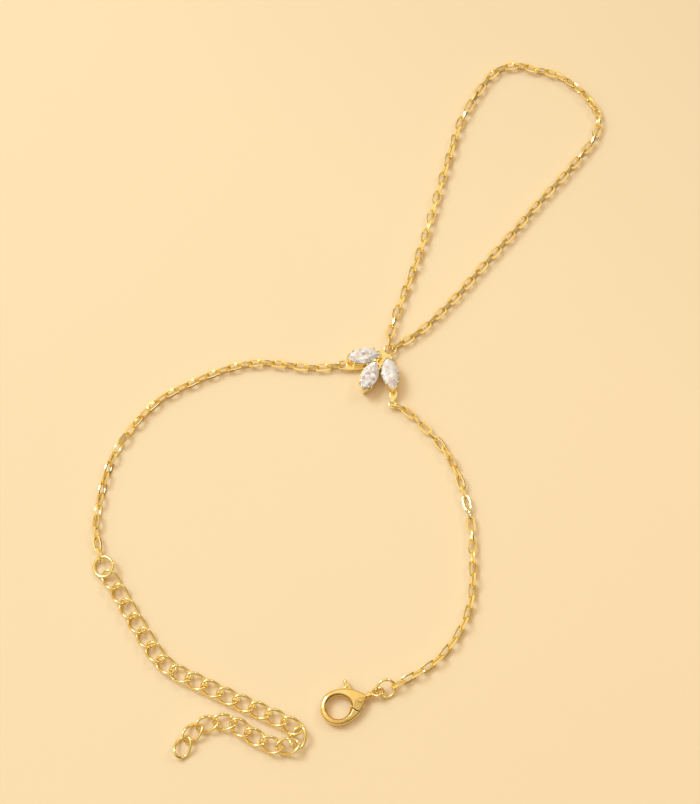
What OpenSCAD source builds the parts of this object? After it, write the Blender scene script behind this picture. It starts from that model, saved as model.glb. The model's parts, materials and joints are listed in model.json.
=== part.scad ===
// Hand chain bracelet: a finger loop of fine cable chain, a leaf of three
// marquise stones, two wrist chains, an extender chain and a lobster clasp.
// It lies unfastened on a flat surface, laid out as for a display.
// X runs to the right, Y away from the viewer and Z up from the surface.

/* [Cable chain] */
// Length of a cable link over its ends
link_l = 3; // [2.9:0.05:3.2]
// Width of a cable link over its sides
link_w = 1.66; // [1.64:0.02:1.8]
// Thickness of the cable link's wire
link_d = 0.4; // [0.36:0.02:0.4]
// Smallest play left between a link and the next
link_play = 0.18; // [0.16:0.01:0.2]
// Play left where a chain hangs on a loop or a ring
end_play = 0.21; // [0.18:0.01:0.24]

/* [Extender chain] */
// Length of an extender link over its ends
ext_l = 4.35; // [4.2:0.05:4.6]
// Width of an extender link over its sides
ext_w = 3.1; // [3:0.05:3.3]
// Thickness of the extender link's wire
ext_d = 0.54; // [0.5:0.02:0.56]
// Height that the twist lifts and drops the wire of each link
ext_rise = 0.5; // [0.48:0.02:0.56]
// Smallest play left between an extender link and the next
ext_play = 0.16; // [0.14:0.01:0.2]

/* [Extender ring] */
// Outer diameter of the jump ring that starts the extender
ring_d = 4.15; // [4:0.05:4.4]
// Thickness of that ring's wire
ring_wire = 0.62; // [0.54:0.02:0.62]
// Tilt of that ring about the run of the chain
ring_roll = 20; // [16:1:26]

/* [Stones] */
// Length of a marquise stone
stone_l = 6.1; // [5.6:0.1:6.3]
// Width of a marquise stone
stone_w = 3.05; // [2.8:0.05:3.15]
// Height of the crown above the girdle
crown_h = 0.55; // [0.4:0.05:0.7]
// Depth of the pavilion below the girdle
pavilion_h = 1.3; // [1:0.05:1.4]
// Height of the girdle above the surface
girdle_z = 2.4; // [2.2:0.05:2.8]

/* [Leaf setting] */
// Thickness of each cup's wall
cup_wall = 0.38; // [0.36:0.02:0.42]
// Ledge inside the wall that the stone's edge stands over
cup_ledge = 0.28; // [0.24:0.02:0.28]
// Height of the cups' lower edge above the surface
cup_z = 0.02; // [0:0.01:0.1]
// How far each cup's wall leans out from its foot to its rim
cup_lean = 0.25; // [0.2:0.05:0.3]
// Gap between a stone and the metal around it
stone_gap = 0.06; // [0.04:0.01:0.1]
// Diameter of a side claw's post
claw_d = 0.36; // [0.32:0.02:0.4]
// Height of the side claws' heads above the girdle
claw_h = 0.26; // [0.22:0.01:0.3]
// Thickness of the V-shaped prong round each point of a stone
prong_wall = 0.2; // [0.16:0.02:0.24]
// Length of that prong along the stone
prong_l = 0.6; // [0.5:0.05:0.8]
// Height of that prong above the girdle
prong_h = 0.2; // [0.16:0.02:0.24]
// Radius of the plate that joins the three cups
hub_r = 1.8; // [1.7:0.1:2]
// Thickness of the joining plate
hub_t = 0.7; // [0.5:0.05:0.9]
// Outer diameter of the loop that holds both ends of the finger chain
top_loop_d = 2.4; // [2.2:0.1:2.7]
// Length from the plate's middle to the middle of that loop
top_loop_l = 2.45; // [2.3:0.05:2.6]
// Outer diameter of the loop that holds the left wrist chain
side_loop_d = 2; // [1.9:0.05:2.3]
// Length from the left cup's point to the middle of that loop
side_loop_l = 1.1; // [1:0.05:1.2]
// Outer diameter of the loop that holds the right wrist chain
drop_loop_d = 1.6; // [1.55:0.05:2]
// Length from the right cup's point to the middle of that loop
drop_l = 2.3; // [2:0.1:2.8]
// Width of the oval plate that the right loop hangs on
drop_w = 1.4; // [1:0.1:1.6]
// Length of the tapering tab between the left loop and its cup
tab_l = 4.2; // [3.5:0.1:5]
// Thickness of the tab and of the oval plate
tab_t = 0.34; // [0.3:0.02:0.36]
// Thickness of the loops' wire
loop_wire = 0.4; // [0.36:0.02:0.46]

/* [Clasp] */
// Radius of the clasp's round end
hook_r = 3.1; // [3:0.05:3.4]
// Radius of the opening inside the hook
mouth_r = 2.05; // [1.9:0.05:2.15]
// Thickness of the clasp across its faces
clasp_t = 1.8; // [1.7:0.05:2]
// Length from the middle of the opening to the body's point
body_l = 5.4; // [5.2:0.05:5.8]
// Height of the slot that the lever turns in
slot_t = 0.76; // [0.7:0.02:0.84]
// Thickness of the lever inside the slot
lever_t = 0.56; // [0.5:0.02:0.6]
// Thickness of the lever's gate, outside the slot
gate_t = 1.5; // [1.3:0.05:1.7]
// Diameter of the lever's pin
pin_d = 0.6; // [0.5:0.02:0.7]
// Diameter of the rounded thumb tab
tab_d = 0.74; // [0.66:0.02:0.76]
// Gap between parts of the clasp that move past each other
clasp_gap = 0.1; // [0.08:0.01:0.12]
// Gap around the pin in the body, and around it in the lever
pin_fit = 0.03; // [0.03:0.01:0.05]
lever_play = 0.06; // [0.05:0.01:0.08]
// How far the thumb tab stands out of the body
tab_h = 1.45; // [1.25:0.1:1.65]
// Outer diameter of the clasp's tail eye
eye_d = 2.4; // [2.3:0.05:2.5]
// Thickness of the tail eye's wire
eye_wire = 0.48; // [0.44:0.02:0.5]
// Turn of the tail eye about the clasp's axis
eye_roll = -36; // [-38:1:-34]
// Outer diameter of the jump ring between the clasp and the chain
jump_d = 3.75; // [3.65:0.05:3.85]
// Thickness of that jump ring's wire
jump_wire = 0.5; // [0.46:0.02:0.5]
// Tilt of that jump ring about the run of the chain
jump_roll = 38; // [35:1:42]
// Looseness between the tail eye and the jump ring
jump_slack = 0.65; // [0.6:0.05:0.7]
// Diameter of the neck between the clasp's body and its tail eye
neck_d = 0.8; // [0.7:0.05:0.9]
// Length of that neck
neck_l = 0.7; // [0.65:0.05:0.8]
// Diameter of the collar around it
collar_d = 1.35; // [1.2:0.05:1.5]
// Thickness of that collar
collar_t = 0.3; // [0.25:0.05:0.35]

/* [Hidden] */
$fn = 24;
gold = [0.86, 0.66, 0.3];
clear = [0.95, 0.93, 0.95];

// Routes, chosen by hand: x and y of the chain's middle line in mm, the
// lift above its resting height in mm, and the roll of its links in degrees
FINGER_LEFT = [
    [6.1, 11, 0, 0], [7.4, 15, 0, 20], [9.2, 20, 0, 30], [11, 25, 0, 30], [12.7, 30, 0, 20],
    [14.4, 36, 0, 20], [16.2, 42.5, 0, 25], [17.7, 47.5, 0, 30], [19.2, 52.5, 0, 25],
    [21.6, 57.4, 0, 10], [24.4, 61.9, 0, 0], [26.2, 63.9, 0, 0]];
FINGER_TOP = [28.2, 64.9, 0, 0];
FINGER_RIGHT = [
    [12, 11.8, 0, 0], [18, 18, 0, 0], [23.2, 24.3, 0, 0], [28.4, 30.4, 0, 0],
    [33.4, 36.6, 0, 0], [38.7, 42.7, 0, 0], [42.1, 46.9, 0, 10], [44.5, 50.4, 0, 10],
    [45.2, 55, 0, 15], [42.2, 59.8, 0, 20], [37.6, 63.3, 0, 0], [33.6, 64.3, 0, 0], [31.1, 65.2, 0, 0]];
WRIST_LEFT = [
    [-7.6, 4.3, 0, 0], [-11.3, 4.7, 0, 0], [-17, 5.3, 0, 0], [-22.7, 4.3, 0, 0],
    [-29.5, 1.4, 0, 0], [-35.8, -2.4, 0, 0], [-41.4, -9.4, 0, 20], [-44, -15.5, 0, 30],
    [-45.3, -22.5, 0, 20], [-45.4, -27, 0.1, 0]];
WRIST_RIGHT = [
    [8.9, -3.8, 0, 0], [12.9, -7.8, 0, 20], [16.4, -12.4, 0, 45], [18.6, -18, 0, 40],
    [20, -24.5, 0, 20], [20.3, -32, 0, 0], [19.9, -38.5, 0, 0], [18, -43.8, 0, 0],
    [14.5, -48.6, 0, 0], [11, -51.2, 0.15, 0]];
EXTENDER = [
    [-42.4, -35, 0.1, 0], [-39.4, -40.2, 0, 0], [-36.2, -45.4, 0, 0], [-32.7, -50.2, 0, 0],
    [-27.3, -53, 0, 0], [-21.7, -55.7, 0, 0], [-16.1, -58.2, 0, 0], [-10.2, -61, 0.15, 8],
    [-9.4, -63.2, 0.6, 6], [-12.4, -64.6, 0.25, -18], [-17.7, -62.4, 0, 0], [-20, -60.5, 0, 0],
    [-22.7, -59.8, 0, 0], [-25.6, -60.3, 0, 0], [-28.3, -61.9, 0, 0], [-29.9, -65.6, 0, 0]];

// Where the plate that joins the leaf lies
HUB = [4.7, 5.8];
// The cups: direction from the plate in degrees, then the gap to the inner
// point as a share of a stone's length, and its shift as a share of the width
CUPS = [["left", 187, 0.01, -0.21], ["middle", 247.5, 0.18, -0.25], ["right", 281, 0.035, 0.25]];
// Directions in which the three loops leave the leaf, in degrees
TOP_LOOP_TURN = 55;
LEFT_LOOP_TURN = 228;
TAB_TURN = -9;
RIGHT_LOOP_TURN = 264;
// Middle of the extender's ring, and the run of the chain through it
RING_AT = [-43.9, -32.7];
RING_TURN = -69;
// Middle of the clasp's opening, and the turn of its axis
CLASP_AT = [-3.1, -57.5];
CLASP_TURN = 22;
// Direction in which the jump ring lies off the tail eye, and the run of the
// chain through it
JUMP_FROM_EYE = 18;
JUMP_TURN = 20;

// Height at which an upright cable link rests, shared by the loops, with the
// small lift that keeps a leaning link off the floor
lift = 0.02;
chain_z = link_w / 2 + lift;
side_loop_r = (side_loop_d - loop_wire) / 2;
drop_loop_r = (drop_loop_d - loop_wire) / 2;
top_loop_r = (top_loop_d - loop_wire) / 2;
ring_r = (ring_d - ring_wire) / 2;
ring_z = ring_r * abs(sin(ring_roll)) + ring_wire / 2;
eye_r = (eye_d - eye_wire) / 2;
jump_r = (jump_d - jump_wire) / 2;
jump_z = jump_r * sin(jump_roll) + jump_wire / 2;

function xy(p) = [p[0], p[1]];
function dir(a) = [cos(a), sin(a)];
function at3(p, z) = [p[0], p[1], z];

// Smooth curve through the rows of a route, with m points for each row
function bend(a, b, c, d, t) =
    (2 * b + (c - a) * t + (2 * a - 5 * b + 4 * c - d) * t * t
     + (3 * b - a - 3 * c + d) * t * t * t) / 2;
function smooth(route, m = 12) =
    let (n = len(route) - 1)
    concat([for (i = [0:n - 1], k = [0:m - 1])
                bend(route[max(i - 1, 0)], route[i], route[i + 1], route[min(i + 2, n)], k / m)],
           [route[n]]);

// Length run from the start of a curve to each of its points
function step_at(c, i) = i + 1 < len(c) ? norm(xy(c[i + 1]) - xy(c[i])) : 0;
function lengths(c) = [for (i = 0, s = 0; i < len(c); s = s + step_at(c, i), i = i + 1) s];

// Row of the curve at a given length along it
function row_at(c, run, s) =
    [for (k = [0:3]) lookup(s, [for (i = [0:len(c) - 1]) [run[i], c[i][k]]])];

// Rows for joints spread evenly along a route, no further apart than pitch
function spread(route, pitch) =
    let (c = smooth(route), run = lengths(c), whole = run[len(run) - 1], n = ceil(whole / pitch))
    [for (i = [0:n]) row_at(c, run, i * whole / n)];

// A pose is a place, a heading, a pitch and a roll. Each link reaches from
// the joint before it to the joint after it
function pose(a, b, roll) =
    let (d = b - a) [(a + b) / 2, atan2(d[1], d[0]), atan2(d[2], norm(xy(d))), roll];
module place(p) {
    translate(p[0]) rotate([0, 0, p[1]]) rotate([0, -p[2], 0]) rotate([p[3], 0, 0]) children();
}

// How far inside a ring's wire the joint with its link lies
function joint_in(wire, play) = (wire + play) / 2;

// Cable links are turned a quarter from one to the next, from upright at the
// start of a chain to the given roll at its end
link_pitch = link_l - 2 * link_d - link_play;
function cable_z(roll) =
    (link_w - link_d) / 2 * max(abs(sin(roll)), abs(cos(roll))) + link_d / 2 + lift;
function cable(a, route, b, last = 90) =
    let (rows = spread(concat([a], route, [b]), link_pitch), n = len(rows) - 1,
         more = (last + 180 * n - 90 * n) % 180, turn = more > 90 ? more - 180 : more,
         joints = [for (i = [0:n])
                   let (rest = i == 0 || i == n ? chain_z : cable_z(rows[i][3] + turn * i / n))
                   at3(rows[i], rows[i][2] + rest)])
    [for (i = [0:n - 1])
     let (lean = i == 0 || i == n - 1 ? 0 : (rows[i][3] + rows[i + 1][3]) / 2)
     pose(joints[i], joints[i + 1], 90 * (i + 1) + turn * i / (n - 1) + lean)];

// The leaf: where each cup's middle lies, and the loops that it carries
function cup_dir(k) = CUPS[k][1];
function cup_tip(k) =
    HUB + dir(cup_dir(k)) * CUPS[k][2] * stone_l + dir(cup_dir(k) + 90) * CUPS[k][3] * stone_w;
function cup_at(k) = cup_tip(k) + dir(cup_dir(k)) * (stone_l / 2 + cup_wall - cup_ledge);
function cup_end(k) = cup_at(k) + dir(cup_dir(k)) * (stone_l / 2 + cup_wall - cup_ledge);
top_loop_at = HUB + dir(TOP_LOOP_TURN) * top_loop_l;
left_loop_at = cup_end(0) + dir(LEFT_LOOP_TURN) * side_loop_l;
right_loop_at = cup_end(2) + dir(RIGHT_LOOP_TURN) * drop_l;

// The clasp's own frame, and the ring that follows its tail eye
function clasp_point(u, v) =
    CLASP_AT + dir(CLASP_TURN) * u + dir(CLASP_TURN + 90) * v;
eye_u = body_l + neck_l + eye_d / 2;
eye_to_jump = eye_r + jump_r - (eye_wire + jump_wire) / 2 - jump_slack;
jump_at = clasp_point(eye_u, 0) + dir(JUMP_FROM_EYE) * eye_to_jump;

// Ends of the chains: the joint between an end link and the wire it hangs on
function end_row(p, turn, r, wire, play, lift = 0) =
    let (q = p + dir(turn) * (r - joint_in(wire, play))) [q[0], q[1], lift, 0];
finger_a = end_row(top_loop_at, 110, top_loop_r, loop_wire, end_play);
finger_b = end_row(top_loop_at, 25, top_loop_r, loop_wire, end_play);
left_a = end_row(left_loop_at, 196, side_loop_r, loop_wire, end_play);
left_b = end_row(RING_AT, RING_TURN + 180, ring_r, ring_wire, end_play, ring_z - chain_z);
right_a = end_row(right_loop_at, 329, drop_loop_r, loop_wire, end_play);
right_b = end_row(jump_at, JUMP_TURN, jump_r, jump_wire, end_play, jump_z - chain_z);

finger_left = cable(finger_a, FINGER_LEFT, FINGER_TOP);
finger_right = cable(finger_b, FINGER_RIGHT, FINGER_TOP, 0);
wrist_left = cable(left_a, WRIST_LEFT, left_b, 90 + ring_roll);
wrist_right = cable(right_a, WRIST_RIGHT, right_b, 90 - jump_roll);

// The extender starts on its ring and ends free
ext_z = ext_rise + ext_d / 2 + lift;
ext_a = end_row(RING_AT, RING_TURN, ring_r, ring_wire, end_play, ring_z - ext_z);
ext_rows = spread(concat([ext_a], EXTENDER), ext_l - 2 * ext_d - ext_play);
ext_n = len(ext_rows) - 1;
function ext_joint(i) = at3(ext_rows[i], ext_rows[i][2] + ext_z);
extender = [for (i = [0:ext_n - 1])
            pose(ext_joint(i), ext_joint(i + 1), (ext_rows[i][3] + ext_rows[i + 1][3]) / 2)];
function ext_name(i) = str("extender_link_", i < 10 ? "0" : "", i);

// Round wire bent to a full ring
module ring(r, wire) {
    rotate_extrude($fn = 48) translate([r, 0]) circle(d = wire);
}

// One cable link: two half rings joined by straight sides
module cable_link() {
    r = (link_w - link_d) / 2;
    s = (link_l - link_w) / 2;
    for (k = [-1, 1]) {
        translate([k * s, 0, 0]) rotate([0, 0, k * 90 - 180])
            rotate_extrude(angle = 180) translate([r, 0]) circle(d = link_d);
        translate([-s, k * r, 0]) rotate([0, 90, 0]) cylinder(d = link_d, h = 2 * s);
    }
}
module cable_chain(poses) {
    color(gold) for (p = poses) place(p) cable_link();
}

// One extender link: an oval of wire twisted so that its ends cross the next
function oval(t) =
    [(ext_l - ext_d) / 2 * cos(t), (ext_w - ext_d) / 2 * sin(t), ext_rise * sin(2 * t)];
function oval_run(t) =
    let (v = [-(ext_l - ext_d) / 2 * sin(t), (ext_w - ext_d) / 2 * cos(t), 2 * ext_rise * cos(2 * t)])
    v / norm(v);
module extender_link(rings = 18, sides = 6) {
    points = [for (i = [0:rings - 1]) let (t = i * 360 / rings, v = oval_run(t),
                  flat = [v[1], -v[0], 0] / norm([v[0], v[1]]), rise = cross(v, flat))
              for (k = [0:sides - 1]) let (a = k * 360 / sides)
              oval(t) + ext_d / 2 * (flat * cos(a) + rise * sin(a))];
    faces = [for (i = [0:rings - 1], k = [0:sides - 1], half = [0, 1])
             let (j = (i + 1) % rings, m = (k + 1) % sides,
                  a = i * sides + k, b = i * sides + m, c = j * sides + m, d = j * sides + k)
             half == 0 ? [a, c, b] : [a, d, c]];
    color(gold) polyhedron(points, faces);
}

// Pointed oval between two arcs, with walls that lean out by lean on the way up
module marquise(l, w, h, lean = 0) {
    r = (l * l + w * w) / (4 * w);
    intersection_for(k = [-1, 1]) translate([0, k * (r - w / 2), 0])
        cylinder(r1 = r - lean, r2 = r, h = h, $fn = 96);
}

// Outline of a marquise stone as n steps along each of its two arcs
function arc_point(l, w, t) =
    let (r = (l * l + w * w) / (4 * w), a = t * asin(l / 2 / r))
    [r * sin(a), r * cos(a) - (r - w / 2)];
function outline(l, w, z, n, shift = 0) =
    [for (k = [-1, 1], i = [0:n - 1])
     let (p = arc_point(l, w, k * (2 * (i + shift) / n - 1))) [p[0], k * p[1], z]];

// Brilliant cut: table, crown, girdle, pavilion and keel in flat facets, with
// each belt's size as a share of the girdle and its height as a share of its side
GIRDLE = 0.04;
TABLE = 0.58;
CROWN_BELT = [0.8, 0.56];
PAVILION_BELT = [0.5, 0.62];
KEEL = 0.14;
function belt(share, z, n, shift = 0) = outline(stone_l * share, stone_w * share, z, n, shift);
module stone(k) {
    points = concat(
        belt(1, GIRDLE, 8), belt(1, -GIRDLE, 8), belt(TABLE, crown_h, 4, 0.5),
        belt(CROWN_BELT[0], crown_h * CROWN_BELT[1], 4),
        belt(PAVILION_BELT[0], -pavilion_h * PAVILION_BELT[1], 4),
        [for (m = [-1, 1]) [m * stone_l * KEEL, 0, -pavilion_h]]);
    color(clear) on_cup(k, girdle_z) hull() polyhedron(points, [[for (i = [0:len(points) - 1]) i]]);
}

// A marquise that stands a little outside or inside the stone's outline
module round_stone(out, h, lean = 0) {
    marquise(stone_l + 2.5 * out, stone_w + 2 * out, h, lean);
}

// Space kept free for a stone inside its cup and under its claws, with a
// seat below the girdle that slopes as the pavilion does
module stone_room() {
    half = GIRDLE + stone_gap;
    slope = stone_w / 2 * (1 - PAVILION_BELT[0]) / (pavilion_h * PAVILION_BELT[1] - GIRDLE);
    translate([0, 0, -half]) round_stone(stone_gap, 2 * half);
    translate([0, 0, half]) mirror([0, 0, 1]) translate([0, 0, -crown_h])
        round_stone(stone_gap, crown_h, stone_w / 2 * (1 - TABLE));
    seat_h = (cup_ledge + stone_gap) / slope;
    translate([0, 0, -half - seat_h]) round_stone(stone_gap, seat_h, seat_h * slope);
}

// A cup with a leaning wall, a prong round each point and four side claws
CLAW_ALONG = 0.54;
module cup() {
    h = girdle_z - cup_z - GIRDLE - stone_gap;
    claw_at = arc_point(stone_l, stone_w, CLAW_ALONG) + [0, claw_d / 5];
    difference() {
        union() {
            translate([0, 0, cup_z]) round_stone(cup_wall - cup_ledge, h, cup_lean);
            for (k = [-1, 1]) {
                prong(k);
                for (m = [-1, 1]) claw(k * claw_at[0], m * claw_at[1]);
            }
        }
        translate([0, 0, cup_z - h / 2]) round_stone(-cup_ledge, 2 * h, cup_lean);
    }
}
module claw(x, y) {
    foot = 0.43 * girdle_z;
    top = girdle_z + claw_h - claw_d / 2;
    translate([x, y, foot]) cylinder(d = claw_d, h = top - foot);
    translate([x, y, top]) sphere(d = claw_d * 1.1);
}
module prong(k) {
    foot = girdle_z - prong_l;
    intersection() {
        translate([0, 0, foot]) round_stone(prong_wall, prong_l + prong_h);
        translate([k * ((stone_l + stone_w) / 2 - prong_l), 0, girdle_z])
            cube([stone_w, 2 * stone_w, 3 * prong_l], center = true);
    }
}

module on_cup(k, z) {
    translate(at3(cup_at(k), z)) rotate([0, 0, cup_dir(k)]) children();
}

// The soldered leaf: three cups, the plate between them and the chain loops
module setting() {
    plate_l = drop_l + 0.75 * loop_wire;
    color(gold) {
        for (k = [0:2]) difference() {
            on_cup(k, 0) cup();
            for (m = [0:2]) on_cup(m, girdle_z) stone_room();
        }
        difference() {
            translate(at3(HUB, chain_z - hub_t / 2)) cylinder(r = hub_r, h = hub_t, $fn = 48);
            translate(at3(top_loop_at, 0)) cylinder(r = top_loop_r, h = 2 * chain_z);
        }
        translate(at3(top_loop_at, chain_z)) ring(top_loop_r, loop_wire);
        translate(at3(left_loop_at, chain_z)) rotate([0, 0, TAB_TURN]) {
            ring(side_loop_r, loop_wire);
            tab();
        }
        translate(at3(right_loop_at, chain_z)) rotate([0, 0, RIGHT_LOOP_TURN]) {
            ring(drop_loop_r, loop_wire);
            translate([-drop_loop_r - plate_l / 2, 0, -tab_t / 2]) marquise(plate_l, drop_w, tab_t);
        }
    }
}

// Flat tab that tapers from the left loop to a point under its cup
module tab() {
    w = side_loop_r + loop_wire / 5;
    r = (w * w + tab_l * tab_l) / (2 * w);
    linear_extrude(tab_t, center = true) difference() {
        intersection() {
            intersection_for(k = [-1, 1]) translate([0, k * (r - w)]) circle(r = r, $fn = 96);
            translate([0, -w]) square([tab_l, 2 * w]);
        }
        circle(r = side_loop_r, $fn = 48);
    }
}

// The clasp in its own frame: where the pin stands, how wide the opening's
// edge flares, and how deep the neck is rooted in the body
PIVOT = [3.9, -0.4];
mouth_flare = 0.34;
neck_root = 0.5;
rim_r = (hook_r * hook_r + body_l * body_l) / (2 * hook_r);

// Reach from the pin of the body's cheeks, the lever's round hub, its web, the
// slot for the web, the gate and the thumb tab
cheek_reach = 1.75;
lever_hub_r = 0.85;
web_reach = 2.25;
slot_reach = 2.15;
gate_reach = 4;
tab_reach = 3.3;

// Turns about the pin, in degrees: the closed gate, the room cut for it beside
// the cheeks, the way it swings, the cheeks, the web and the tab's foot, and
// the slots for them
GATE = [190, 262];
GATE_ROOM = [180, 270];
SWING = [148, 262];
CHEEKS = [140, 270];
WEB = [195, 235];
WEB_SLOT = [60, 262];
TAB = [102, 120];
TAB_SLOT = [70, 126];

// The tab stands at one turn about the pin and points in another direction
TAB_AT = 112;
TAB_LEAN = 84;

// Wide disc whose faces slope down to a rounded rim
RIM_SLOPE = 12;
module pebble(r, t, soft, fall) {
    middle = t / 2 - soft - fall;
    turn = [r - soft + soft * sin(RIM_SLOPE), middle + soft * cos(RIM_SLOPE)];
    crest = turn[0] - (t / 2 - turn[1]) / tan(RIM_SLOPE);
    rotate_extrude($fn = 96) {
        for (k = [0, 1]) mirror([0, k]) {
            translate([r - soft, middle]) circle(r = soft);
            polygon([[0, 0], [0, t / 2], [crest, t / 2], turn, [r - soft, middle], [r - soft, 0]]);
        }
        translate([0, -middle]) square([r, 2 * middle]);
    }
}

// Block that reaches across the clasp from x = a to x = b
module slab(a, b) {
    translate([a, -hook_r - 1, -clasp_t]) cube([b - a, 2 * hook_r + 2, 2 * clasp_t]);
}

// The closed clasp: a half disc and a teardrop with one flared opening
module closed_clasp(t) {
    soft = t * 0.33;
    fall = t * 0.14;
    difference() {
        union() {
            intersection() {
                pebble(hook_r, t, soft, fall);
                slab(-hook_r - 1, 0);
            }
            intersection() {
                intersection_for(k = [-1, 1]) translate([0, k * (rim_r - hook_r), 0])
                    pebble(rim_r, t, soft, fall);
                slab(0, body_l + 1);
            }
        }
        cylinder(r = mouth_r, h = 2 * t, center = true, $fn = 96);
        for (k = [0, 1]) mirror([0, 0, k]) translate([0, 0, (t - fall) / 2 - 2.2 * mouth_flare])
            cylinder(r1 = mouth_r - mouth_flare, r2 = mouth_r + 2 * mouth_flare,
                     h = 3 * mouth_flare, $fn = 96);
    }
}

// Sector of a flat disc around the lever's pin, between two turns
module sector(r, turns, t) {
    translate(at3(PIVOT, -t / 2)) rotate([0, 0, turns[0]])
        rotate_extrude(angle = turns[1] - turns[0], $fn = 96) square([r, t]);
}

// Cylinder of height t on the pin's axis
module on_pin(r, t) {
    translate(at3(PIVOT, -t / 2)) cylinder(r = r, h = t);
}

// Rod of length l along the clasp's axis
module rod(u, d, l) {
    translate([u, 0, 0]) rotate([0, 90, 0]) cylinder(d = d, h = l);
}

module clasp_frame() {
    translate(at3(CLASP_AT, clasp_t / 2)) rotate([0, 0, CLASP_TURN]) children();
}

module clasp_body() {
    color(gold) clasp_frame() {
        difference() {
            closed_clasp(clasp_t);
            difference() {
                sector(gate_reach + clasp_gap, SWING, 2 * clasp_t);
                sector(cheek_reach, CHEEKS, 3 * clasp_t);
            }
            sector(slot_reach, WEB_SLOT, slot_t);
            sector(gate_reach, TAB_SLOT, slot_t);
            on_pin(lever_hub_r + clasp_gap, slot_t);
            on_pin(pin_d / 2 + pin_fit, 2 * clasp_t);
        }
        rod(body_l - neck_root, neck_d, neck_root + eye_u - eye_r - body_l);
        rod(body_l + (neck_l - collar_t) / 2, collar_d, collar_t);
        translate([eye_u, 0, 0]) rotate([eye_roll, 0, 0]) ring(eye_r, eye_wire);
    }
}

module clasp_pin() {
    color(gold) clasp_frame() on_pin(pin_d / 2, clasp_t);
}

// The lever: a gate that closes the hook, a web in the slot and a thumb tab
module clasp_lever() {
    tab_end = tab_h - tab_d / 2;
    color(gold) clasp_frame() difference() {
        union() {
            intersection() {
                closed_clasp(gate_t);
                difference() {
                    sector(gate_reach, GATE, gate_t);
                    sector(cheek_reach + clasp_gap, GATE_ROOM, 2 * gate_t);
                }
            }
            sector(web_reach, WEB, lever_t);
            sector(tab_reach + tab_d / 2, TAB, lever_t);
            on_pin(lever_hub_r, lever_t);
            translate(at3(PIVOT + dir(TAB_AT) * tab_reach, 0)) rotate([0, 0, TAB_LEAN]) {
                rod(0, tab_d, tab_end);
                translate([tab_end, 0, 0]) sphere(d = tab_d);
            }
        }
        on_pin(pin_d / 2 + lever_play, 2 * clasp_t);
    }
}

module extender_ring() {
    color(gold) translate(at3(RING_AT, ring_z)) rotate([0, 0, RING_TURN]) rotate([ring_roll, 0, 0])
        ring(ring_r, ring_wire);
}

module clasp_ring() {
    color(gold) translate(at3(jump_at, jump_z)) rotate([0, 0, JUMP_TURN]) rotate([jump_roll, 0, 0])
        ring(jump_r, jump_wire);
}

setting();
stone(0);  // stone_left
stone(1);  // stone_middle
stone(2);  // stone_right
cable_chain(finger_left);  // finger_chain_left
cable_chain(finger_right);  // finger_chain_right
cable_chain(wrist_left);  // wrist_chain_left
cable_chain(wrist_right);  // wrist_chain_right
extender_ring();
clasp_ring();
clasp_body();
clasp_pin();
clasp_lever();
for (i = [1:ext_n])
    place(extender[i - 1]) extender_link();
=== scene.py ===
# %% [markdown]
# # A hand chain bracelet
#
# The bracelet lies open on a table: a finger loop of fine chain, a leaf of three clear stones,
# two wrist chains, an extender and a lobster clasp. The CAD model already says where every part
# lies and how large it is. This lesson keeps to those places and gives each part the shape and
# finish of the real one: wire that is bent and cut, metal that is cast and polished, cut stones.

# %% Load the CAD model as a fixed frame
import json
import math

import bpy
import numpy as np
from mathutils import Matrix, Vector

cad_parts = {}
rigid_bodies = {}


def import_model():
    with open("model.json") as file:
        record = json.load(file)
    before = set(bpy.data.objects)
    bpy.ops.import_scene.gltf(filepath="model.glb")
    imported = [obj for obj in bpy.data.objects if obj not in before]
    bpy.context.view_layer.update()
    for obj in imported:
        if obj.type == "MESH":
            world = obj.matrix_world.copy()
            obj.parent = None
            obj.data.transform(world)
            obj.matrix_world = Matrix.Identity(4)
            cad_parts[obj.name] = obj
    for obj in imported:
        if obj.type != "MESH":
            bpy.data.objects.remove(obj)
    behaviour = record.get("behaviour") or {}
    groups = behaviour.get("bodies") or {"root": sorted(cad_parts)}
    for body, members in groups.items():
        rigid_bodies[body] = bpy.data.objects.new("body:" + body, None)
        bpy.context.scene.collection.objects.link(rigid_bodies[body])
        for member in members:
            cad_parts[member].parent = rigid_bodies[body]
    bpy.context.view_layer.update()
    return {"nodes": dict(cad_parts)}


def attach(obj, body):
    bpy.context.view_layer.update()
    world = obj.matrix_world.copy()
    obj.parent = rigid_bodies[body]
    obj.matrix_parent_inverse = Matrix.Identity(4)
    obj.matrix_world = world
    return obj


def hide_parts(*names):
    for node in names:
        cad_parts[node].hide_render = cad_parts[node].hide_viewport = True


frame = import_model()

# %% [markdown]
# ## Camera, table and light
#
# The photograph looks down at the table at a steep angle, from far enough away that the chain
# hardly shrinks towards the back. A long lens does the same. The table is a large plain sheet.
# A room with warm walls gives more than half of the light, and one soft lamp at the upper left
# gives the rest, so that each shadow falls to the lower right, stays warm and has a wide,
# blurred edge.

# %% The camera
MM = 0.001
LOOKED_AT = Vector((-1.1, -1.9, 0)) * MM
CAMERA_RISE = math.radians(70)
CAMERA_DISTANCE = 0.41
SENSOR_WIDTH = 36
LENS_LENGTH = 102.8
towards_camera = Vector((0, -math.cos(CAMERA_RISE), math.sin(CAMERA_RISE)))
bpy.ops.object.camera_add(location=LOOKED_AT + towards_camera * CAMERA_DISTANCE)
camera = bpy.context.object
camera.rotation_euler = (-towards_camera).to_track_quat("-Z", "Y").to_euler()
camera.data.sensor_width = SENSOR_WIDTH
camera.data.lens = LENS_LENGTH
camera.data.clip_start = 0.01
bpy.context.scene.camera = camera
print("camera at", [round(v, 3) for v in camera.location])

# %% Helpers for pieces and for materials
def pick(piece):
    bpy.ops.object.select_all(action="DESELECT")
    piece.select_set(True)
    bpy.context.view_layer.objects.active = piece


def settle(piece):
    pick(piece)
    bpy.ops.object.transform_apply(location=True, rotation=True, scale=True)


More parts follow.
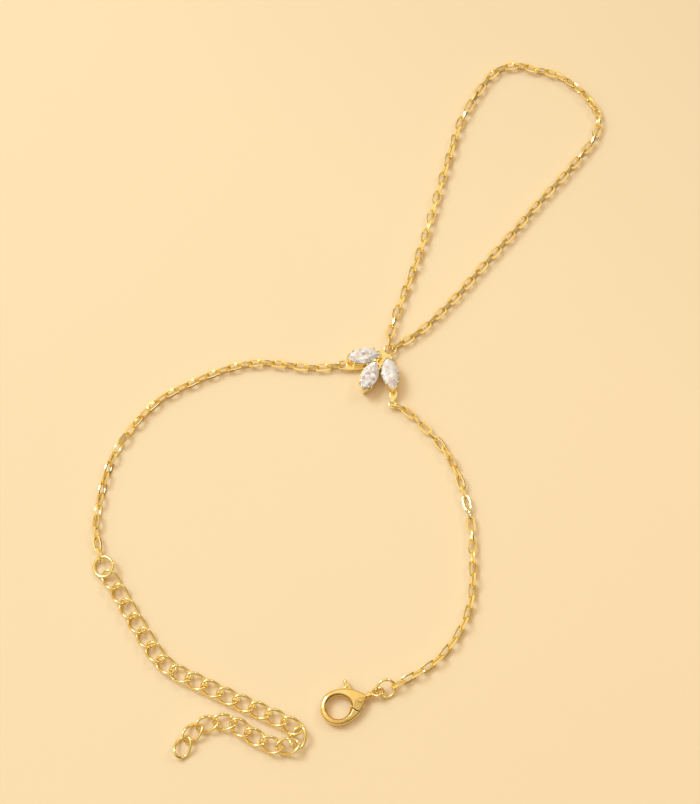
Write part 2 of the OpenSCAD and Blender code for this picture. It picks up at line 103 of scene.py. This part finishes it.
def add_nodes(material):
    material.use_nodes = True
    tree = material.node_tree
    return tree.nodes, tree.links


def set_ramp(node, stops):
    ramp = node.color_ramp
    ramp.elements.remove(ramp.elements[1])
    for position, colour in stops[1:]:
        ramp.elements.new(position)
    for stop, (position, colour) in zip(ramp.elements, stops):
        stop.position = position
        stop.color = (*colour, 1)


# %% The table, with painted shade that makes it a little darker towards the upper right
TABLE_SIZE = 3
TABLE_DROP = 0.02 * MM
TABLE_TONES = [(0, (0.905, 0.72, 0.488)), (1, (0.92, 0.735, 0.503))]
# Painted shade: the table's colour darkens a little towards the upper right, where the light falls
# off.
PAINTED_SHADE_TOWARDS = (0.6, 0.8, 0)
PAINTED_SHADE_STARTS = 0.03
PAINTED_SHADE_ENDS = 0.11
PAINTED_SHADE_LEVEL = 0.91
bpy.ops.object.select_all(action="DESELECT")
bpy.ops.mesh.primitive_plane_add(size=TABLE_SIZE, location=(0, 0, -TABLE_DROP))
table = bpy.context.object
table.name = "table"
settle(table)
table_paint = bpy.data.materials.new("table_paint")
nodes, links = add_nodes(table_paint)
shader = nodes["Principled BSDF"]
shader.inputs["Roughness"].default_value = 0.85
shader.inputs["Specular IOR Level"].default_value = 0.15
place = nodes.new("ShaderNodeTexCoord")
mottle = nodes.new("ShaderNodeTexNoise")
mottle.inputs["Scale"].default_value = 14
tone = nodes.new("ShaderNodeValToRGB")
set_ramp(tone, TABLE_TONES)
# Painted shade, darker towards the upper right, mixed into the table's colour.
across = nodes.new("ShaderNodeVectorMath")
across.operation = "DOT_PRODUCT"
across.inputs[1].default_value = PAINTED_SHADE_TOWARDS
painted_shade_fade = nodes.new("ShaderNodeMapRange")
painted_shade_fade.inputs["From Min"].default_value = PAINTED_SHADE_STARTS
painted_shade_fade.inputs["From Max"].default_value = PAINTED_SHADE_ENDS
painted_shade_fade.inputs["To Min"].default_value = 1
painted_shade_fade.inputs["To Max"].default_value = PAINTED_SHADE_LEVEL
shaded = nodes.new("ShaderNodeHueSaturation")
links.new(place.outputs["Object"], mottle.inputs["Vector"])
links.new(place.outputs["Object"], across.inputs[0])
links.new(across.outputs["Value"], painted_shade_fade.inputs["Value"])
links.new(mottle.outputs["Fac"], tone.inputs["Fac"])
links.new(painted_shade_fade.outputs["Result"], shaded.inputs["Value"])
links.new(tone.outputs["Color"], shaded.inputs["Color"])
links.new(shaded.outputs["Color"], shader.inputs["Base Color"])
table.data.materials.append(table_paint)
print("table top at", -TABLE_DROP)

# %% The room around, darker at the horizon than overhead, and darker on the side away from the lamp
LAMP_SIDE = (-0.75, 0.66, 0)
DARK_SIDE = 0.35
LIGHT_SIDE = 1.65
ROOM_TONES = [(0.04, (0.17, 0.10, 0.045)), (0.62, (0.90, 0.76, 0.54))]
room = bpy.data.worlds.new("room")
bpy.context.scene.world = room
nodes, links = add_nodes(room)
sky = nodes["Background"]
way = nodes.new("ShaderNodeTexCoord")
height = nodes.new("ShaderNodeSeparateXYZ")
fade = nodes.new("ShaderNodeValToRGB")
set_ramp(fade, ROOM_TONES)
links.new(way.outputs["Generated"], height.inputs["Vector"])
links.new(height.outputs["Z"], fade.inputs["Fac"])
links.new(fade.outputs["Color"], sky.inputs["Color"])
side = nodes.new("ShaderNodeVectorMath")
side.operation = "DOT_PRODUCT"
side.inputs[1].default_value = LAMP_SIDE
strength = nodes.new("ShaderNodeMapRange")
strength.inputs["From Min"].default_value = -1
strength.inputs["To Min"].default_value = DARK_SIDE
strength.inputs["To Max"].default_value = LIGHT_SIDE
links.new(way.outputs["Generated"], side.inputs[0])
links.new(side.outputs["Value"], strength.inputs["Value"])
links.new(strength.outputs["Result"], sky.inputs["Strength"])
bpy.context.scene.view_settings.view_transform = "Standard"
print("room colours:", [tuple(round(c, 2) for c in e.color[:3]) for e in fade.color_ramp.elements])

# %% The lamps
def add_lamp(name, place, size, power, colour):
    bpy.ops.object.light_add(type="AREA", location=place)
    lamp = bpy.context.object
    lamp.name = name
    lamp.rotation_euler = (LOOKED_AT - Vector(place)).to_track_quat("-Z", "Y").to_euler()
    lamp.data.size = size
    lamp.data.energy = power
    lamp.data.color = colour
    return lamp


add_lamp("soft_lamp", (-0.66, 0.47, 0.88), size=0.50, power=7.2, colour=(0.64, 0.85, 1))
add_lamp("glint_lamp", (0.60, 0.44, 0.68), size=0.10, power=0.8, colour=(1, 0.96, 0.88))

# %% [markdown]
# ## Gold and stone
#
# The metal is polished yellow plate. A metal's colour is the colour of its reflections, so the
# base colour does most of the work, and what makes it look like metal rather than paint is
# contrast in what it reflects. Real plate isn't quite even: the colour and the polish drift a
# little over a millimetre or two, and the surface has a very fine ripple. Three finishes share
# one recipe: drawn wire, which was cut bright, the leaf's cast metal, which is a little softer,
# and the clasp, which is a shade deeper than the rest: painted shade, for the darker
# reflections on the clasp.

# %% Gold
DRIFT_PER_METRE = 420
GRAIN_PER_METRE = 5200
RIPPLE_HEIGHT = 0.02 * MM


def make_gold(name, dark, light, smoothest, dullest, ripple):
    gold = bpy.data.materials.new(name)
    nodes, links = add_nodes(gold)
    shader = nodes["Principled BSDF"]
    shader.inputs["Metallic"].default_value = 1
    place = nodes.new("ShaderNodeTexCoord")
    drift = nodes.new("ShaderNodeTexNoise")
    drift.inputs["Scale"].default_value = DRIFT_PER_METRE
    drift.inputs["Detail"].default_value = 3
    tone = nodes.new("ShaderNodeValToRGB")
    set_ramp(tone, [(0.3, dark), (0.7, light)])
    polish = nodes.new("ShaderNodeMapRange")
    polish.inputs["To Min"].default_value = smoothest
    polish.inputs["To Max"].default_value = dullest
    grain = nodes.new("ShaderNodeTexNoise")
    grain.inputs["Scale"].default_value = GRAIN_PER_METRE
    grain.inputs["Detail"].default_value = 2
    bump = nodes.new("ShaderNodeBump")
    bump.inputs["Strength"].default_value = ripple
    bump.inputs["Distance"].default_value = RIPPLE_HEIGHT
    links.new(place.outputs["Object"], drift.inputs["Vector"])
    links.new(place.outputs["Object"], grain.inputs["Vector"])
    links.new(drift.outputs["Fac"], tone.inputs["Fac"])
    links.new(drift.outputs["Fac"], polish.inputs["Value"])
    links.new(grain.outputs["Fac"], bump.inputs["Height"])
    links.new(tone.outputs["Color"], shader.inputs["Base Color"])
    links.new(polish.outputs["Result"], shader.inputs["Roughness"])
    links.new(bump.outputs["Normal"], shader.inputs["Normal"])
    return gold


wire_gold = make_gold(
    "wire_gold", (0.98, 0.76, 0.30), (1, 0.86, 0.43), smoothest=0.08, dullest=0.16, ripple=0.10)
leaf_gold = make_gold(
    "leaf_gold", (0.97, 0.74, 0.29), (1, 0.84, 0.42), smoothest=0.07, dullest=0.15, ripple=0.06)
# Painted shade: the clasp's gold is a shade deeper, for the darker reflections on the clasp.
clasp_gold_painted_darker = make_gold(
    "clasp_gold_painted_darker", (0.88, 0.62, 0.22), (0.96, 0.75, 0.33), smoothest=0.07, dullest=0.15, ripple=0.06)
print("gold finishes:", wire_gold.name, leaf_gold.name, clasp_gold_painted_darker.name)

# %% [markdown]
# The stones are cubic zirconia, which bends light much more than window glass does. Light that
# comes in at the top is thrown back out by the facets below, so a real stone looks pale and
# bright, with small angular patches of white, pink and grey. The facets of the model are fewer
# than those of a real cut, so these patches are painted reflections: most of the light is
# scattered in a body of painted tones, on the cells of a Voronoi texture, each with straight
# edges, one tone and a slight tilt of its own, as small facets have.

# %% Stone
STONE_IOR = 2.1
STONE_CLEARNESS = 0.15
STONE_TILT = 0.75
PATCHES_PER_METRE = 1550
# Painted reflections: the white, pink and grey tones of the patches stand in for light that the
# facets throw back.
STONE_PAINTED_REFLECTIONS = [
    (0, (0.76, 0.61, 0.53)), (0.05, (1, 0.82, 0.82)), (0.27, (1, 0.93, 0.95)),
    (0.55, (1, 1, 1)), (0.87, (0.91, 0.88, 1))]
stone_clear = bpy.data.materials.new("stone_clear")
nodes, links = add_nodes(stone_clear)
shader = nodes["Principled BSDF"]
shader.inputs["Transmission Weight"].default_value = STONE_CLEARNESS
shader.inputs["IOR"].default_value = STONE_IOR
shader.inputs["Roughness"].default_value = 0.01
place = nodes.new("ShaderNodeTexCoord")
patches = nodes.new("ShaderNodeTexVoronoi")
patches.inputs["Scale"].default_value = PATCHES_PER_METRE
from_middle = nodes.new("ShaderNodeVectorMath")
from_middle.operation = "SUBTRACT"
tilt = nodes.new("ShaderNodeVectorMath")
tilt.operation = "SUBTRACT"
tilt.inputs[1].default_value = (0.5, 0.5, 0.5)
slope = nodes.new("ShaderNodeVectorMath")
slope.operation = "DOT_PRODUCT"
facets = nodes.new("ShaderNodeBump")
facets.inputs["Distance"].default_value = STONE_TILT
draw = nodes.new("ShaderNodeSeparateColor")
# Painted reflections: one tone for each patch, from its cell's colour.
painted_reflection_tones = nodes.new("ShaderNodeValToRGB")
painted_reflection_tones.color_ramp.interpolation = "CONSTANT"
set_ramp(painted_reflection_tones, STONE_PAINTED_REFLECTIONS)
links.new(place.outputs["Object"], patches.inputs["Vector"])
links.new(place.outputs["Object"], from_middle.inputs[0])
links.new(patches.outputs["Position"], from_middle.inputs[1])
links.new(patches.outputs["Color"], tilt.inputs[0])
links.new(from_middle.outputs["Vector"], slope.inputs[0])
links.new(tilt.outputs["Vector"], slope.inputs[1])
links.new(slope.outputs["Value"], facets.inputs["Height"])
links.new(facets.outputs["Normal"], shader.inputs["Normal"])
links.new(patches.outputs["Color"], draw.inputs["Color"])
links.new(draw.outputs["Red"], painted_reflection_tones.inputs["Fac"])
links.new(painted_reflection_tones.outputs["Color"], shader.inputs["Base Color"])
print("stone bends light by", STONE_IOR)

# %% [markdown]
# ## Where each link lies
#
# A chain of the CAD model is one object with many loose links. Separated, each link tells its
# own place: the middle of its surface, and the three directions in which it is longest,
# widest and thinnest. A new link that is modelled flat at the origin can be put there with
# one matrix. That is quicker and truer than measuring 137 links by eye.

# %% Helpers that copy a CAD node and read where a solid lies
def copy_of(node, name):
    piece = bpy.data.objects.new(name, frame["nodes"][node].data.copy())
    bpy.context.collection.objects.link(piece)
    pick(piece)
    bpy.ops.object.mode_set(mode="EDIT")
    bpy.ops.mesh.select_all(action="SELECT")
    bpy.ops.mesh.remove_doubles(threshold=0.0001 * MM)
    bpy.ops.object.mode_set(mode="OBJECT")
    bpy.ops.mesh.customdata_custom_splitnormals_clear()
    return piece


def middle_and_axes(mesh):
    corners = np.array([v.co[:] for v in mesh.vertices])
    mesh.calc_loop_triangles()
    sides = corners[np.array([t.vertices[:] for t in mesh.loop_triangles])]
    areas = np.linalg.norm(np.cross(sides[:, 1] - sides[:, 0], sides[:, 2] - sides[:, 0]), axis=1)
    spots = sides.mean(axis=1)
    middle = np.average(spots, axis=0, weights=areas)
    spots = spots - middle
    axes = np.linalg.eigh((spots.T * areas) @ spots)[1]
    return middle, axes[:, 2], axes[:, 1], axes[:, 0]


def seat(middle, along, across):
    up = np.cross(along, across)
    turned = Matrix([[*row] for row in np.column_stack([along, across, up])])
    return Matrix.Translation(Vector(middle)) @ turned.to_4x4()


def copy_to(pattern, name, matrix):
    piece = bpy.data.objects.new(name, pattern.data.copy())
    bpy.context.collection.objects.link(piece)
    piece.data.transform(matrix)
    return piece


# %% [markdown]
# ## The cable chain
#
# Each link is a short length of wire, bent to a stadium and soldered shut, and then cut with
# flats that flash as the chain moves. A torus is a good start: its two halves are pulled
# apart along X, which leaves round ends and straight sides. Six sides on the wire stand for
# the cut flats, and shading that is smooth only across small angles keeps them crisp. Across
# its flats such a wire is thinner than the round one, so its corners stand out a little more.

# %% One cable link, flat at the origin
LINK_LENGTH = 3.0 * MM
LINK_WIDTH = 1.66 * MM
LINK_WIRE = 0.40 * MM
LINK_CORNERS = 0.42 * MM
CLEARLY_OFF_MIDDLE = 0.05
CRISP_ANGLE = math.radians(40)


def pull_ends_apart(piece, length, width):
    pick(piece)
    for side in (-1, 1):
        bpy.ops.object.mode_set(mode="EDIT")
        bpy.ops.mesh.select_all(action="DESELECT")
        bpy.ops.object.mode_set(mode="OBJECT")
        for v in piece.data.vertices:
            v.select = v.co.x * side > CLEARLY_OFF_MIDDLE * width
        bpy.ops.object.mode_set(mode="EDIT")
        bpy.ops.transform.translate(value=(side * (length - width) / 2, 0, 0))
        bpy.ops.object.mode_set(mode="OBJECT")


bpy.ops.object.select_all(action="DESELECT")
bpy.ops.mesh.primitive_torus_add(
    major_segments=12, minor_segments=6,
    major_radius=(LINK_WIDTH - LINK_WIRE) / 2, minor_radius=LINK_CORNERS / 2)
cable_link = bpy.context.object
cable_link.name = "cable_link"
pull_ends_apart(cable_link, LINK_LENGTH, LINK_WIDTH)
bpy.ops.object.shade_smooth_by_angle(angle=CRISP_ANGLE)
cable_link.data.materials.append(wire_gold)
print("cable link:", [round(v * 1000, 2) for v in cable_link.dimensions], "mm,",
      len(cable_link.data.polygons), "faces")

# %% The four chains, each link on its place
def dress_chain(node):
    copy_of(node, node + "_guide")
    bpy.ops.mesh.separate(type="LOOSE")
    guides = list(bpy.context.selected_objects)
    new_links = []
    for guide in guides:
        middle, along, across, _ = middle_and_axes(guide.data)
        new_links.append(copy_to(cable_link, node + "_link", seat(middle, along, across)))
    for guide in guides:
        bpy.data.objects.remove(guide)
    pick(new_links[0])
    for link in new_links:
        link.select_set(True)
    bpy.ops.object.join()
    chain = bpy.context.object
    chain.name = node + "_wire"
    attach(chain, "bracelet")
    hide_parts(node)
    return len(new_links)


for node in ("finger_chain_left", "finger_chain_right", "wrist_chain_left", "wrist_chain_right"):
    print(node, dress_chain(node), "links")
bpy.data.objects.remove(cable_link)

# %% [markdown]
# ## The extender
#
# The extender's links are larger ovals of round wire that were twisted, so that each lies
# flat on the next. A Bezier circle, stretched to an oval, makes the wire's middle line.
# Raising one handle of each point and lowering the other gives the twist without a bump. The
# wire rises to three quarters of the handles' height, so they are set that much higher. The
# curve's own bevel makes the wire, after which it is converted to a mesh. Stretching the
# circle also thinned the wire at its points, so each point gets its full radius back.

# %% One extender link, flat at the origin
EXTENDER_LENGTH = 4.35 * MM
EXTENDER_WIDTH = 3.1 * MM
EXTENDER_WIRE = 0.54 * MM
EXTENDER_TWIST = 0.50 * MM
HANDLE_PER_TWIST = 4 / 3

bpy.ops.object.select_all(action="DESELECT")
bpy.ops.curve.primitive_bezier_circle_add(radius=1)
extender_link = bpy.context.object
extender_link.name = "extender_link"
extender_link.scale = ((EXTENDER_LENGTH - EXTENDER_WIRE) / 2, (EXTENDER_WIDTH - EXTENDER_WIRE) / 2, 1)
settle(extender_link)
wire = extender_link.data
for point in wire.splines[0].bezier_points:
    point.handle_left_type = point.handle_right_type = "ALIGNED"
    on_long_side = abs(point.co.y) > abs(point.co.x)
    rise = EXTENDER_TWIST * HANDLE_PER_TWIST * (-1 if on_long_side else 1)
    point.handle_right = Vector((*point.handle_right[:2], rise))
    point.handle_left = Vector((*point.handle_left[:2], -rise))
    point.radius = 1
wire.dimensions = "3D"
wire.resolution_u = 8
wire.render_resolution_u = 8
wire.bevel_depth = EXTENDER_WIRE / 2
wire.bevel_resolution = 3
pick(extender_link)
bpy.ops.object.convert(target="MESH")
extender_link = bpy.context.object
bpy.ops.object.shade_smooth()
extender_link.data.materials.append(wire_gold)
print("extender link:", [round(v * 1000, 2) for v in extender_link.dimensions], "mm,",
      len(extender_link.data.polygons), "faces")

# %% The twenty-four extender links
for number in range(1, 25):
    node = f"extender_link_{number:02d}"
    middle, along, across, _ = middle_and_axes(frame["nodes"][node].data)
    link = copy_to(extender_link, node + "_wire", seat(middle, along, across))
    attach(link, "bracelet")
    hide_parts(node)
bpy.data.objects.remove(extender_link)
print("last extender link at", [round(v * 1000, 1) for v in middle], "mm")

# %% [markdown]
# ## Jump rings
#
# A jump ring is a wire that was wound on a rod and sawn through, so it has a fine slit where
# its ends meet. A disc the size of the wire is spun almost all the way round, and the two
# ends are left closed. The slit is turned to the side, away from what hangs on the ring.

# %% A ring that is spun from the section of its wire
SLIT = math.radians(2)
WIRE_SIDES = 12
SPIN_STEPS = 56


def spin_ring(name, radius, wire):
    bpy.ops.object.select_all(action="DESELECT")
    bpy.ops.mesh.primitive_circle_add(
        vertices=WIRE_SIDES, radius=wire / 2, fill_type="NGON", location=(0, radius, 0),
        rotation=(0, math.radians(90), 0))
    ring = bpy.context.object
    ring.name = name
    settle(ring)
    bpy.ops.object.mode_set(mode="EDIT")
    bpy.ops.mesh.select_all(action="SELECT")
    bpy.ops.mesh.duplicate()
    bpy.ops.mesh.spin(
        steps=SPIN_STEPS, angle=2 * math.pi - SLIT, center=(0, 0, 0), axis=(0, 0, 1))
    bpy.ops.mesh.select_all(action="SELECT")
    bpy.ops.mesh.remove_doubles(threshold=0.001 * MM)
    bpy.ops.mesh.normals_make_consistent(inside=False)
    bpy.ops.object.mode_set(mode="OBJECT")
    bpy.ops.object.shade_smooth_by_angle(angle=CRISP_ANGLE)
    ring.data.materials.append(wire_gold)
    return ring


def dress_ring(node, diameter, wire):
    middle, _, _, thin = middle_and_axes(frame["nodes"][node].data)
    level = np.cross([0, 0, 1], thin)
    level = level / np.linalg.norm(level)
    ring = spin_ring(node + "_wire", (diameter - wire) / 2, wire)
    ring.data.transform(seat(middle, level, np.cross(thin, level)))
    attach(ring, "bracelet")
    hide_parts(node)
    return len(ring.data.polygons)


print("extender ring:", dress_ring("extender_ring", diameter=4.15 * MM, wire=0.62 * MM), "faces")
print("clasp ring:", dress_ring("clasp_ring", diameter=3.75 * MM, wire=0.50 * MM), "faces")

# %% [markdown]
# ## Cast and polished metal
#
# The leaf's setting, the clasp's body and its lever are cast, filed and polished, so none of
# their edges is sharp. Their CAD solids have the right shape with hard edges. A copy is
# rebuilt on a fine grid and smoothed a little, which rounds every edge and every soldered
# corner alike, as polishing does. The grid can't be finer than a tenth of a millimetre, so
# the copy is first made a thousand times larger and afterwards shrunk back.

# %% Polishing a copy of a CAD solid
def polish(node, body, finish, cell, passes):
    piece = copy_of(node, node + "_polished")
    piece.scale = (1 / MM, 1 / MM, 1 / MM)
    settle(piece)
    grid = piece.modifiers.new("grid", "REMESH")
    grid.mode = "VOXEL"
    grid.voxel_size = cell
    bpy.ops.object.modifier_apply(modifier="grid")
    soften = piece.modifiers.new("soften", "SMOOTH")
    soften.factor = 0.5
    soften.iterations = passes
    bpy.ops.object.modifier_apply(modifier="soften")
    piece.scale = (MM, MM, MM)
    settle(piece)
    bpy.ops.object.shade_smooth()
    piece.data.materials.clear()
    piece.data.materials.append(finish)
    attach(piece, body)
    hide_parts(node)
    return len(piece.data.polygons)


print("setting:", polish("setting", "bracelet", leaf_gold, cell=0.06, passes=5), "faces")
print("clasp body:", polish("clasp_body", "bracelet", clasp_gold_painted_darker, cell=0.05, passes=14), "faces")
print("clasp lever:", polish("clasp_lever", "lever", clasp_gold_painted_darker, cell=0.05, passes=12), "faces")

# %% [markdown]
# ## Parts that keep their CAD shape
#
# The stones are flat facets and nothing else, so their CAD solids are right as they are, and
# so is the pin, whose ends were filed flush with the clasp. They only get their finish.

# %% Finish on the stones and on the pin
def give_finish(node, material):
    solid = frame["nodes"][node]
    solid.data.materials.clear()
    solid.data.materials.append(material)


for node in ("stone_left", "stone_middle", "stone_right"):
    give_finish(node, stone_clear)
give_finish("clasp_pin", clasp_gold_painted_darker)
print("kept as modelled: three stones and the clasp's pin")
